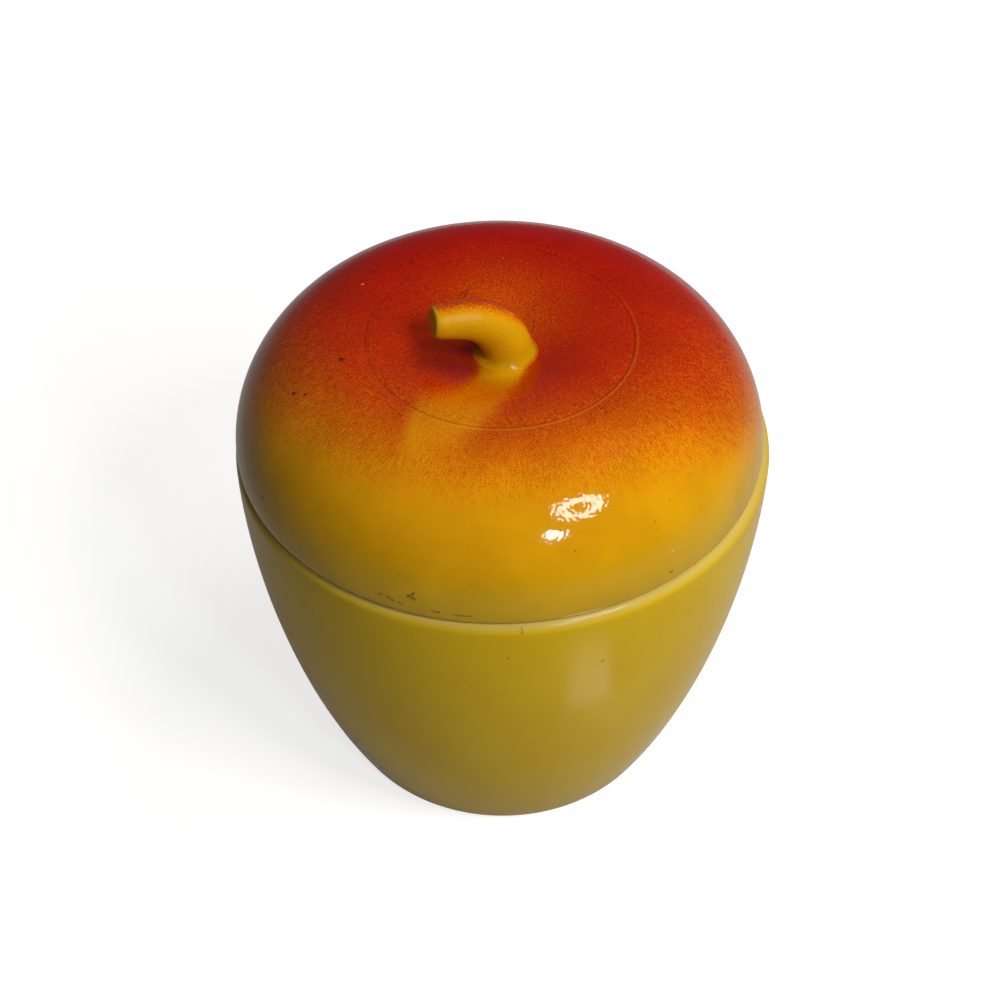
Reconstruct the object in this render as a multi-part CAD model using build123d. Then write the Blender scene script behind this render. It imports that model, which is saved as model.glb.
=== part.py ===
from build123d import *

import os
from math import cos, hypot, radians, sin, tan

# Apple-shaped jam pot in glazed earthenware: a footed pot, a lift-off lid and the bent stalk luted onto the lid.
# Millimetres and degrees, +Z up. The origin is on the table, at the centre of the pot's foot.
# The stalk leans towards -X.

# Pot, outside
rim_radius = 46.0  # outside of the lip, the widest place of the object
pot_height = 70.0  # table to the flat top of the rim
lip_round = 2.0  # outer edge of the rim
foot_radius = 29.0  # outer edge of the flat ring that the pot stands on
foot_round = 2.5  # from that ring into the wall
foot_ring_width = 5.5
foot_recess = 1.6  # hollow of the underside, inside the foot ring
wall_lean = 65.0  # angle from the table at which the wall leaves the foot
low_fullness = 0.34  # share of the wall's chord over which it keeps that lean
high_fullness = 0.27  # share of the wall's chord over which it is upright below the lip

# Pot, inside
pot_wall = 4.2
mouth_round = 0.8  # inner edge of the rim
floor_thickness = 3.6
floor_round = 7.0  # from the floor into the wall

# Lid, outside
lid_inset = 0.8  # the lid's side stands this far inside the pot's lip
lid_edge_round = 0.8
crest_height = 21.1  # seat to the highest ring of the apple's shoulder
side_fullness = 0.46  # share of the shoulder's height over which the lid's side stays upright
shoulder_fullness = 0.62  # share of the shoulder's width over which it stays level
ring_radius = 22.5  # fine tooled line round the hollow that holds the stalk
ring_drop = 0.15  # that line lies this far below the crest
ring_step = 0.2  # height and width of the line's step
crest_width = 2.5  # from the line out to the crest
dish_depth = 3.1  # from the line's step down to the land that the stalk stands on
dish_slope = 21.0  # angle from level, at the edge of the land
dish_evenness = 0.34  # share of the hollow's width over which each end keeps its slope

# Lid, inside, and the flange that centres it in the pot's mouth
lid_wall = 4.0
flange_depth = 5.0
flange_thickness = 3.2
flange_round = 0.8
lid_play = 0.9  # radial clearance between the flange and the mouth
lid_near_gap = 0.35  # what is left of that clearance on the -X side, to which the lid has slid

# Stalk
stalk_setback = 1.0  # root's distance from the lid's axis, on the side away from the lean
stalk_root_radius = 4.6
stalk_foot_spread = 0.6  # how far the luting slip spreads onto the land round the root
stalk_flare_height = 2.2
stalk_tip_radius = 2.75
stalk_rise = 0.1  # upright length above the land
stalk_bend_radius = 8.5
stalk_turn = 82.0  # angle from upright to the lean of the tip
stalk_reach = 5.2  # straight length after the bend
stalk_tip_round = 0.8
land_margin = 0.4  # flat of the land that is left outside the stalk's foot

# Sizes that follow from the values above
mouth_radius = rim_radius - pot_wall
floor_z = foot_recess + floor_thickness
seat_z = pot_height  # the lid's seat lies flat on the rim
lid_radius = rim_radius - lid_inset
lid_shift = lid_play - lid_near_gap
flange_radius = mouth_radius - lid_play
crest_radius = ring_radius + crest_width
crest_z = seat_z + crest_height
ring_z = crest_z - ring_drop
land_z = ring_z - ring_step - dish_depth
stalk_foot_radius = stalk_root_radius + stalk_foot_spread
land_radius = stalk_foot_radius + stalk_setback + land_margin


def turned(edges):
    """Solid of revolution about Z from edges that close an outline of (radius, height) points."""
    return revolve(Plane.XZ * make_face(edges), axis=Axis.Z)


def wall_curve(start, end, lean):
    """Side of the pot: it leaves start at the lean and arrives upright at end."""
    chord = hypot(end[0] - start[0], end[1] - start[1])
    leaving = (
        start[0] + low_fullness * chord * cos(lean),
        start[1] + low_fullness * chord * sin(lean),
    )
    arriving = (end[0], end[1] - high_fullness * chord)
    return Bezier(start, leaving, arriving, end)


def make_pot():
    """The vessel: foot ring, swelling wall and rounded lip, cast in one."""
    lean = radians(wall_lean)
    lip = min(lip_round, 0.6 * pot_wall)
    brink = min(mouth_round, 0.3 * pot_wall)
    wall_start = (foot_radius + foot_round * sin(lean), foot_round * (1 - cos(lean)))
    wall_end = (rim_radius, pot_height - lip)
    recess_edge = foot_radius - foot_ring_width

    # The inner wall starts where it is one wall's thickness from the line that the outer wall starts along
    inner_start_z = floor_z + floor_round * (1 - cos(lean))
    inner_rise = inner_start_z - wall_start[1]
    inner_start = (wall_start[0] + (inner_rise * cos(lean) - pot_wall) / sin(lean), inner_start_z)
    inner_end = (mouth_radius, pot_height - brink)
    floor_edge = inner_start[0] - floor_round * sin(lean)

    return turned(
        [
            Line((0, foot_recess), (recess_edge - foot_recess, foot_recess)),
            Line((recess_edge - foot_recess, foot_recess), (recess_edge, 0)),
            Line((recess_edge, 0), (foot_radius, 0)),
            CenterArc((foot_radius, foot_round), foot_round, -90, wall_lean),
            wall_curve(wall_start, wall_end, lean),
            CenterArc((rim_radius - lip, pot_height - lip), lip, 0, 90),
            Line((rim_radius - lip, pot_height), (mouth_radius + brink, pot_height)),
            CenterArc((mouth_radius + brink, pot_height - brink), brink, 90, 90),
            wall_curve(inner_start, inner_end, lean),
            CenterArc((floor_edge, floor_z + floor_round), floor_round, -90, wall_lean),
            Line((floor_edge, floor_z), (0, floor_z)),
            Line((0, floor_z), (0, foot_recess)),
        ]
    )


def dish_curve(foot, brim, slope):
    """Hollow round the stalk: it leaves its foot at the slope, and is level where it meets its brim."""
    width = (brim[0] - foot[0]) * dish_evenness
    return Bezier(
        foot,
        (foot[0] + width, foot[1] + width * tan(slope)),
        (brim[0] - width, brim[1]),
        brim,
    )


def dome_curve(crest, side):
    """Shoulder of the lid: level at the crest, and upright where it meets the side."""
    return Bezier(
        crest,
        (crest[0] + (side[0] - crest[0]) * shoulder_fullness, crest[1]),
        (side[0], side[1] + (crest[1] - side[1]) * side_fullness),
        side,
    )


def make_lid():
    """The domed cover: hollow for the stalk, shoulder, seat and centring flange, cast in one."""
    ring = (ring_radius, ring_z)
    step = (ring_radius - ring_step, ring_z - ring_step)
    crest = (crest_radius, crest_z)
    brow = ((ring_radius + crest_radius) / 2, crest_z)
    side = (lid_radius, seat_z + lid_edge_round)
    flange_bottom = seat_z - flange_depth
    bore_radius = flange_radius - flange_thickness
    corner = min(flange_round, 0.4 * flange_thickness)
    under_crest = (crest_radius, crest_z - lid_wall)
    under_land = (land_radius, land_z - lid_wall)

    return turned(
        [
            Line((0, land_z), (land_radius, land_z)),
            dish_curve((land_radius, land_z), step, radians(dish_slope)),
            Line(step, ring),
            Bezier(ring, brow, crest),
            dome_curve(crest, side),
            CenterArc((lid_radius - lid_edge_round, side[1]), lid_edge_round, 0, -90),
            Line((lid_radius - lid_edge_round, seat_z), (flange_radius, seat_z)),
            Line((flange_radius, seat_z), (flange_radius, flange_bottom + corner)),
            CenterArc((flange_radius - corner, flange_bottom + corner), corner, 0, -90),
            Line((flange_radius - corner, flange_bottom), (bore_radius + corner, flange_bottom)),
            CenterArc((bore_radius + corner, flange_bottom + corner), corner, -90, -90),
            Line((bore_radius, flange_bottom + corner), (bore_radius, seat_z)),
            dome_curve(under_crest, (bore_radius, seat_z)),
            dish_curve(under_land, under_crest, 0.0),
            Line(under_land, (0, land_z - lid_wall)),
            Line((0, land_z - lid_wall), (0, land_z)),
        ]
    )


def stalk_station(along):
    """Place and direction on the stalk's centreline at a length along it, in the lid's own frame."""
    turn = radians(stalk_turn)
    angle = min(max(along - stalk_rise, 0.0) / stalk_bend_radius, turn)
    straight = max(along - stalk_rise - stalk_bend_radius * turn, 0.0)
    out = stalk_bend_radius * (1 - cos(angle)) + straight * sin(angle)
    up = min(along, stalk_rise) + stalk_bend_radius * sin(angle) + straight * cos(angle)
    return Vector(stalk_setback - out, 0, land_z + up), Vector(-sin(angle), 0, cos(angle))


def make_stalk():
    """The knob: a bent, tapering apple stalk whose foot spreads onto the lid's land."""
    length = stalk_rise + stalk_bend_radius * radians(stalk_turn) + stalk_reach
    flare_stations = [stalk_flare_height * share for share in (0.0, 0.12, 0.3, 0.55, 1.0)]
    body_count = 8
    body_length = length - stalk_flare_height
    body_stations = [stalk_flare_height + body_length * i / body_count for i in range(1, body_count + 1)]

    sections = []
    for along in flare_stations + body_stations:
        taper = stalk_root_radius + (stalk_tip_radius - stalk_root_radius) * along / length
        flare = max(1 - along / stalk_flare_height, 0.0) ** 3
        place, direction = stalk_station(along)
        section = Circle(taper + stalk_foot_spread * flare)
        sections.append(Plane(origin=place, x_dir=(0, 1, 0), z_dir=direction) * section)

    stalk = loft(sections)
    tip = stalk.faces().filter_by(GeomType.PLANE).sort_by(Axis.Z)[-1]
    return fillet(tip.edges(), min(stalk_tip_round, 0.5 * stalk_tip_radius))


seated = Pos(-lid_shift, 0, 0)
nodes = {
    "pot": make_pot(),
    "lid": seated * make_lid(),
    "stalk": seated * make_stalk(),
}

os.makedirs("parts", exist_ok=True)
for name, solid in nodes.items():
    export_step(solid, f"parts/{name}.step")
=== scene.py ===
from math import cos, hypot, pi, radians, sin, tan

import bpy
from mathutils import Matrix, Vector


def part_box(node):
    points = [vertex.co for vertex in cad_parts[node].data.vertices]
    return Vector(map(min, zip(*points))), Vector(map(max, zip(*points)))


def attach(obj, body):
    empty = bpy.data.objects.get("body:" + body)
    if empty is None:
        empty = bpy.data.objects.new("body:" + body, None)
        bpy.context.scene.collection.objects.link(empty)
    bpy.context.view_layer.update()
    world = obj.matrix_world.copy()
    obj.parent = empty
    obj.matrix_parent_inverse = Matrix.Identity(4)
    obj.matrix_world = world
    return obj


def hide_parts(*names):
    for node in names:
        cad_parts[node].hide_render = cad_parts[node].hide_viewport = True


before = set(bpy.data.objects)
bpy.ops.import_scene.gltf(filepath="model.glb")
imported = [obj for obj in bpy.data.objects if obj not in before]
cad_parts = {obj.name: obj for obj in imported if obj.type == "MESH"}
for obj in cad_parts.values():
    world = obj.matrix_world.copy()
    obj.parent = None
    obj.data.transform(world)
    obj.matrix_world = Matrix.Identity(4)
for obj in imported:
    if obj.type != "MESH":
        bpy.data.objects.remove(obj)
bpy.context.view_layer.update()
scene = bpy.context.scene
scene.view_settings.view_transform = "Standard"
mm = 0.001

# Pot: the vessel, slip-cast earthenware under a satin mustard glaze, paler on the lip where it thins, with
# a painted highlight there too.
# It was poured in a plaster mould, fettled smooth and fired standing on its foot ring, wiped bare.
# The lid's flat seat lies on its rim.
pot_low, pot_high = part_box("pot")
rim_radius = (pot_high.x - pot_low.x) / 2
pot_height = pot_high.z
lip_round = 2.0 * mm
foot_radius = 29.0 * mm
foot_round = 2.5 * mm
foot_ring_width = 5.5 * mm
foot_recess = 1.6 * mm
recess_round = 0.6 * mm
wall_lean = radians(65)
low_fullness = 0.34
high_fullness = 0.27
pot_wall = 4.2 * mm
mouth_round = 0.8 * mm
floor_thickness = 3.6 * mm
floor_round = 7.0 * mm
pot_segments = 224
pot_unevenness = 0.07 * mm
pot_swell_size = 18 * mm
true_margin = 12 * mm
pot_gloss = 0.08
pot_glaze_colour = (0.65, 0.428, 0.0105, 1)
pot_pool_colour = (0.63, 0.390, 0.002, 1)
pot_lip_pale_and_highlight_colour = (0.52, 0.41, 0.115, 1)
bare_clay_colour = (0.62, 0.50, 0.36, 1)
clay_dust_colour = (0.5, 0.38, 0.25, 1)
soot_colour = (0.05, 0.03, 0.012, 1)
nick_brown = (0.22, 0.13, 0.004, 1)

# Marks in the glaze, in millimetres: spots by place and radius, thin ones by their ends and half width
pot_marks = (((2.0, -45.6, 58.5), 0.3), ((-13.6, -43.8, 62.8), 0.2))
lip_nick = (((-11.4, -43.9, 69.4), (-11.4, -44.5, 68.6), 0.16),)


def straight(start, end, steps):
    """Points along a line of an outline, its end left for the stretch that follows."""
    shares = [i / steps for i in range(steps)]
    return [(start[0] + (end[0] - start[0]) * t, start[1] + (end[1] - start[1]) * t) for t in shares]


def rounded(centre, radius, start, sweep, steps):
    """Points along a round of an outline, with its start and sweep in radians, its end left out."""
    angles = [start + sweep * i / steps for i in range(steps)]
    return [(centre[0] + radius * cos(a), centre[1] + radius * sin(a)) for a in angles]


def swelling(a, b, c, d, steps):
    """Points along a cubic curve of an outline, its end left out."""
    points = []
    for i in range(steps):
        t = i / steps
        shares = ((1 - t) ** 3, 3 * t * (1 - t) ** 2, 3 * t * t * (1 - t), t ** 3)
        points.append(tuple(sum(s * p[k] for s, p in zip(shares, (a, b, c, d))) for k in (0, 1)))
    return points


def wall_handles(start, end):
    """Inner control points of the pot's side, which leaves start at its lean and arrives upright at end."""
    chord = hypot(end[0] - start[0], end[1] - start[1])
    leaving = (
        start[0] + low_fullness * chord * cos(wall_lean),
        start[1] + low_fullness * chord * sin(wall_lean),
    )
    return leaving, (end[0], end[1] - high_fullness * chord)


def pot_outline():
    """Section of the pot, from the middle of its underside, up its outside and down its inside."""
    recess_edge = foot_radius - foot_ring_width
    wall_start = (foot_radius + foot_round * sin(wall_lean), foot_round * (1 - cos(wall_lean)))
    wall_end = (rim_radius, pot_height - lip_round)
    floor_z = foot_recess + floor_thickness
    inner_start_z = floor_z + floor_round * (1 - cos(wall_lean))
    inner_rise = inner_start_z - wall_start[1]
    inner_start = (wall_start[0] + (inner_rise * cos(wall_lean) - pot_wall) / sin(wall_lean), inner_start_z)
    mouth_radius = rim_radius - pot_wall
    inner_end = (mouth_radius, pot_height - mouth_round)
    floor_edge = inner_start[0] - floor_round * sin(wall_lean)
    shoulder = recess_edge - foot_recess
    soft = recess_round * tan(pi / 8)
    slope = soft * sin(pi / 4)
    recess_top = (shoulder + slope, foot_recess - slope)
    ring_inside = (recess_edge - slope, slope)
    leaving, arriving = wall_handles(wall_start, wall_end)
    inner_leaving, inner_arriving = wall_handles(inner_start, inner_end)
    lip_centre = (rim_radius - lip_round, pot_height - lip_round)
    brink_centre = (mouth_radius + mouth_round, pot_height - mouth_round)
    return [
        *straight((0, foot_recess), (shoulder - soft, foot_recess), 16),
        *rounded((shoulder - soft, foot_recess - recess_round), recess_round, pi / 2, -pi / 4, 4),
        *straight(recess_top, ring_inside, 3),
        *rounded((recess_edge + soft, recess_round), recess_round, -3 * pi / 4, pi / 4, 4),
        *straight((recess_edge + soft, 0), (foot_radius, 0), 6),
        *rounded((foot_radius, foot_round), foot_round, -pi / 2, wall_lean, 10),
        *swelling(wall_start, leaving, arriving, wall_end, 84),
        *rounded(lip_centre, lip_round, 0, pi / 2, 14),
        *straight((rim_radius - lip_round, pot_height), (mouth_radius + mouth_round, pot_height), 4),
        *rounded(brink_centre, mouth_round, pi / 2, pi / 2, 8),
        *reversed(swelling(inner_start, inner_leaving, inner_arriving, inner_end, 60)),
        *reversed(rounded((floor_edge, floor_z + floor_round), floor_round, -pi / 2, wall_lean, 12)),
        *reversed(straight((0, floor_z), (floor_edge, floor_z), 16)),
    ]


def add_node(tree, kind, *values, named=None, **settings):
    """Adds a node and feeds its inputs, by place or by name, with sockets to link or plain values."""
    node = tree.nodes.new(kind)
    for name, value in settings.items():
        setattr(node, name, value)
    feeds = dict(enumerate(values))
    feeds.update(named or {})
    for key, value in feeds.items():
        if isinstance(value, bpy.types.NodeSocket):
            tree.links.new(value, node.inputs[key])
        elif value is not None:
            node.inputs[key].default_value = value
    return node


def math_of(tree, operation, *values):
    """Result of a Math node."""
    return add_node(tree, "ShaderNodeMath", *values, operation=operation).outputs[0]


def times(tree, one, other):
    """Product of two numbers."""
    return math_of(tree, "MULTIPLY", one, other)


def times_plus(tree, one, other, more):
    """Product of two numbers, and a third added to it."""
    return math_of(tree, "MULTIPLY_ADD", one, other, more)


def minus(tree, one, other):
    """Difference of two numbers."""
    return math_of(tree, "SUBTRACT", one, other)


def vector_of(tree, operation, *values):
    """Vector result of a Vector Math node."""
    return add_node(tree, "ShaderNodeVectorMath", *values, operation=operation).outputs["Vector"]


def measure_of(tree, operation, *values):
    """Number result of a Vector Math node, such as a length or a dot product."""
    return add_node(tree, "ShaderNodeVectorMath", *values, operation=operation).outputs["Value"]


def scaled(tree, vector, factor):
    """A vector made longer or shorter by a factor."""
    node = add_node(tree, "ShaderNodeVectorMath", vector, named={"Scale": factor}, operation="SCALE")
    return node.outputs["Vector"]


def height_of(tree, place):
    """Height of a place."""
    return add_node(tree, "ShaderNodeSeparateXYZ", place).outputs["Z"]


def noise_of(tree, place, scale, detail):
    """Smooth noise over a piece, about 0.5 in the mean."""
    return add_node(tree, "ShaderNodeTexNoise", place, named={"Scale": scale, "Detail": detail}).outputs[0]


def ramp_of(tree, value, low, high, to_low=0.0, to_high=1.0, smooth=True):
    """A value carried from one range to another and held at its ends."""
    kind = "SMOOTHSTEP" if smooth else "LINEAR"
    node = add_node(tree, "ShaderNodeMapRange", value, low, high, to_low, to_high, interpolation_type=kind)
    return node.outputs[0]


def new_tree(name, kind, inputs, outputs):
    """An empty node group with those sockets, with the node of its inputs and the node of its outputs."""
    tree = bpy.data.node_groups.new(name, kind)
    for sockets, way in ((inputs, "INPUT"), (outputs, "OUTPUT")):
        for socket_name, socket_kind in sockets.items():
            tree.interface.new_socket(socket_name, in_out=way, socket_type="NodeSocket" + socket_kind)
    given = tree.nodes.new("NodeGroupInput").outputs
    return tree, given, tree.nodes.new("NodeGroupOutput").inputs


def end_tree(tree, shape, given, result):
    """Ends a tree with its shape made real and dressed in its material."""
    real = add_node(tree, "GeometryNodeRealizeInstances", shape).outputs[0]
    dressed = add_node(tree, "GeometryNodeSetMaterial", real, named={"Material": given["Material"]})
    tree.links.new(dressed.outputs[0], result["Geometry"])


def turned_ware_tree():
    """Tree that turns an outline about an upright axis, with the slight unevenness of a cast piece."""
    tree, given, result = new_tree(
        "Turned ware",
        "GeometryNodeTree",
        {
            "Outline": "Object",
            "Segments": "Int",
            "Axis": "Vector",
            "Unevenness": "Float",
            "Swell size": "Float",
            "True foot": "Float",
            "True rim": "Float",
            "True margin": "Float",
            "Material": "Material",
        },
        {"Geometry": "Geometry"},
    )
    outline = add_node(tree, "GeometryNodeObjectInfo", given["Outline"]).outputs["Geometry"]
    size = add_node(tree, "GeometryNodeAttributeDomainSize", outline, component="CURVE")
    stations = size.outputs["Point Count"]
    columns = math_of(tree, "ADD", given["Segments"], 1)
    grid = add_node(tree, "GeometryNodeMeshGrid", 1.0, 1.0, columns, stations).outputs["Mesh"]

    # Across the grid lies the turn, and along it the stations of the outline
    place = tree.nodes.new("GeometryNodeInputPosition").outputs[0]
    across = add_node(tree, "ShaderNodeSeparateXYZ", place).outputs
    turn = times(tree, math_of(tree, "ADD", across["X"], 0.5), 2 * pi)
    last = minus(tree, stations, 1)
    station = math_of(tree, "ROUND", times(tree, math_of(tree, "ADD", across["Y"], 0.5), last))
    sample = add_node(tree, "GeometryNodeSampleIndex", data_type="FLOAT_VECTOR", domain="POINT")
    tree.links.new(outline, sample.inputs["Geometry"])
    tree.links.new(place, sample.inputs["Value"])
    tree.links.new(station, sample.inputs["Index"])
    point = add_node(tree, "ShaderNodeSeparateXYZ", sample.outputs[0]).outputs
    turned = add_node(
        tree,
        "ShaderNodeCombineXYZ",
        times(tree, point["X"], math_of(tree, "COSINE", turn)),
        times(tree, point["X"], math_of(tree, "SINE", turn)),
        point["Z"],
    ).outputs[0]
    shape = add_node(tree, "GeometryNodeSetPosition", grid, named={"Position": turned}).outputs[0]
    closed = add_node(tree, "GeometryNodeMergeByDistance", shape, named={"Distance": 0.001 * mm}).outputs[0]

    # The casting swells a little here and there, but stays true at the heights where it meets something
    swell = noise_of(tree, place, math_of(tree, "DIVIDE", 1.0, given["Swell size"]), 1.0)
    height = height_of(tree, place)
    from_foot = math_of(tree, "ABSOLUTE", minus(tree, height, given["True foot"]))
    from_rim = math_of(tree, "ABSOLUTE", minus(tree, height, given["True rim"]))
    away = math_of(tree, "MINIMUM", from_foot, from_rim)
    free = math_of(tree, "MINIMUM", math_of(tree, "DIVIDE", away, given["True margin"]), 1.0)
    amount = times(tree, minus(tree, swell, 0.5), given["Unevenness"])
    normal = tree.nodes.new("GeometryNodeInputNormal").outputs[0]
    offset = vector_of(tree, "MULTIPLY", normal, times(tree, amount, free))
    uneven = add_node(tree, "GeometryNodeSetPosition", closed, named={"Offset": offset}).outputs[0]
    moved = add_node(tree, "GeometryNodeSetPosition", uneven, named={"Offset": given["Axis"]}).outputs[0]
    smooth = add_node(tree, "GeometryNodeSetShadeSmooth", moved).outputs[0]
    end_tree(tree, smooth, given, result)
    return tree


def make_piece(name, tree, outline, settings):
    """Plain mesh object of what the tree makes of an outline, given as points of radius and height."""
    curve = bpy.data.curves.new(name + "_outline", "CURVE")
    curve.dimensions = "3D"
    spline = curve.splines.new("POLY")
    spline.points.add(len(outline) - 1)
    for point, (radius, height) in zip(spline.points, outline):
        point.co = (radius, 0, height, 1)
    guide = bpy.data.objects.new(name + "_outline", curve)
    blank = bpy.data.objects.new(name + "_blank", bpy.data.meshes.new(name + "_blank"))
    scene.collection.objects.link(guide)
    scene.collection.objects.link(blank)
    modifier = blank.modifiers.new("Making", "NODES")
    modifier.node_group = tree
    for socket in tree.interface.items_tree:
        if socket.in_out == "INPUT":
            modifier[socket.identifier] = guide if socket.name == "Outline" else settings[socket.name]
    graph = bpy.context.evaluated_depsgraph_get()
    mesh = bpy.data.meshes.new_from_object(blank.evaluated_get(graph))
    mesh.name = name
    piece = bpy.data.objects.new(name, mesh)
    scene.collection.objects.link(piece)
    for spare in (blank, guide):
        bpy.data.objects.remove(spare)
    return piece


def glaze_ripple_group():
    """Height of a fired glaze: a slow waver, a fine orange peel and scattered pinholes."""
    tree, given, result = new_tree(
        "Glaze ripple",
        "ShaderNodeTree",
        {"Position": "Vector", "Waver": "Float", "Peel": "Float", "Pinholes": "Float"},
        {"Height": "Float"},
    )
    place = given["Position"]
    waver = noise_of(tree, place, 0.28, 1.0)
    peel = noise_of(tree, place, 1.6, 0.0)
    cells = add_node(tree, "ShaderNodeTexVoronoi", place, named={"Scale": 0.16})
    chance = add_node(tree, "ShaderNodeSeparateColor", cells.outputs[1]).outputs[0]
    rare = math_of(tree, "GREATER_THAN", chance, 0.55)
    hole = times(tree, ramp_of(tree, cells.outputs[0], 0.03, 0.07, 1.0, 0.0), rare)
    height = times(tree, waver, given["Waver"])
    height = times_plus(tree, peel, given["Peel"], height)
    height = times_plus(tree, hole, times(tree, given["Pinholes"], -1.0), height)
    tree.links.new(height, result["Height"])
    return tree


def ragged_place(tree, place, scale, detail, reach):
    """The place on the piece, moved a little at random, which frays the edge of a mark."""
    noise = add_node(tree, "ShaderNodeTexNoise", place, named={"Scale": scale, "Detail": detail})
    nudge = vector_of(tree, "SUBTRACT", noise.outputs[1], (0.5, 0.5, 0.5))
    return vector_of(tree, "ADD", place, scaled(tree, nudge, reach))


def kiln_specks_group():
    """Mask of small specks of ash and iron, at scattered places and of uneven sizes."""
    tree, given, result = new_tree(
        "Kiln specks",
        "ShaderNodeTree",
        {"Position": "Vector", "Spacing": "Float", "Size": "Float", "Share": "Float"},
        {"Mask": "Float"},
    )
    place = ragged_place(tree, given["Position"], 2.2, 1.0, 0.35)
    cells = add_node(
        tree,
        "ShaderNodeTexVoronoi",
        place,
        named={"Scale": math_of(tree, "DIVIDE", 1.0, given["Spacing"])},
    )
    draw = add_node(tree, "ShaderNodeSeparateColor", cells.outputs[1]).outputs
    chosen = math_of(tree, "LESS_THAN", draw[0], given["Share"])
    far = times(tree, cells.outputs[0], given["Spacing"])
    size = times(tree, given["Size"], times_plus(tree, draw[1], 0.8, 0.4))
    near = ramp_of(tree, math_of(tree, "DIVIDE", far, size), 0.6, 1.1, 1.0, 0.0)
    tree.links.new(times(tree, near, chosen), result["Mask"])
    return tree


def use_group(tree, group, feeds):
    """Outputs of a node group placed in a material with its own values."""
    return add_node(tree, "ShaderNodeGroup", named=feeds, node_tree=group).outputs


def mix_of(tree, share, under, over, blend="MIX"):
    """One colour over another, by a share."""
    feeds = {0: share, 6: under, 7: over}
    return add_node(tree, "ShaderNodeMix", named=feeds, data_type="RGBA", blend_type=blend).outputs[2]


def stained(tree, colour, mask, strength, stain):
    """A colour with a stain of that strength over it where the mask lies."""
    return mix_of(tree, times(tree, mask, strength), colour, stain)


def new_glaze(name, specular):
    """A material with its shader, and the place on the piece in millimetres and the normal there."""
    material = bpy.data.materials.new(name)
    material.use_nodes = True
    tree = material.node_tree
    shader = tree.nodes["Principled BSDF"]
    shader.inputs["IOR"].default_value = 1.5
    shader.inputs["Specular IOR Level"].default_value = specular
    coordinates = tree.nodes.new("ShaderNodeTexCoord").outputs
    place = scaled(tree, coordinates["Object"], 1 / mm)
    return material, tree, shader.inputs, place, coordinates["Normal"]


def spots_of(tree, place, spots, ragged):
    """Mask of single marks, each given by its place and its radius in millimetres."""
    moved = ragged_place(tree, place, 1.6, 2.0, ragged)
    mask = 0.0
    for spot, radius in spots:
        far = measure_of(tree, "DISTANCE", moved, spot)
        mask = math_of(tree, "MAXIMUM", ramp_of(tree, far, 0.6 * radius, 1.2 * radius, 1.0, 0.0), mask)
    return mask


def scratches_of(tree, place, lines, ragged):
    """Mask of thin marks, each given by its two ends and half its width in millimetres."""
    moved = ragged_place(tree, place, 1.6, 2.0, ragged)
    mask = 0.0
    for start, end, width in lines:
        run = Vector(end) - Vector(start)
        from_start = vector_of(tree, "SUBTRACT", moved, start)
        along = measure_of(tree, "DOT_PRODUCT", from_start, tuple(run / run.length_squared))
        foot = scaled(tree, tuple(run), ramp_of(tree, along, 0.0, 1.0, smooth=False))
        far = measure_of(tree, "DISTANCE", from_start, foot)
        mask = math_of(tree, "MAXIMUM", ramp_of(tree, far, 0.6 * width, 1.3 * width, 1.0, 0.0), mask)
    return mask


def specks_of(tree, place, spacing, size, share):
    """Mask of the kiln's specks on a piece, with their spacing and size in millimetres."""
    feeds = {"Position": place, "Spacing": spacing, "Size": size, "Share": share}
    return use_group(tree, kiln_specks, feeds)["Mask"]


def ripple_of(tree, place, waver, peel, pinholes):
    """Height of a piece's glaze, in thousandths of a millimetre."""
    feeds = {"Position": place, "Waver": waver, "Peel": peel, "Pinholes": pinholes}
    return use_group(tree, glaze_ripple, feeds)["Height"]


def raise_surface(tree, shader, height):
    """Bumps a material's surface by a height in thousandths of a millimetre."""
    feeds = {"Strength": 1.0, "Distance": 0.001 * mm, "Height": height}
    bump = add_node(tree, "ShaderNodeBump", named=feeds)
    tree.links.new(bump.outputs[0], shader["Normal"])


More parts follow.
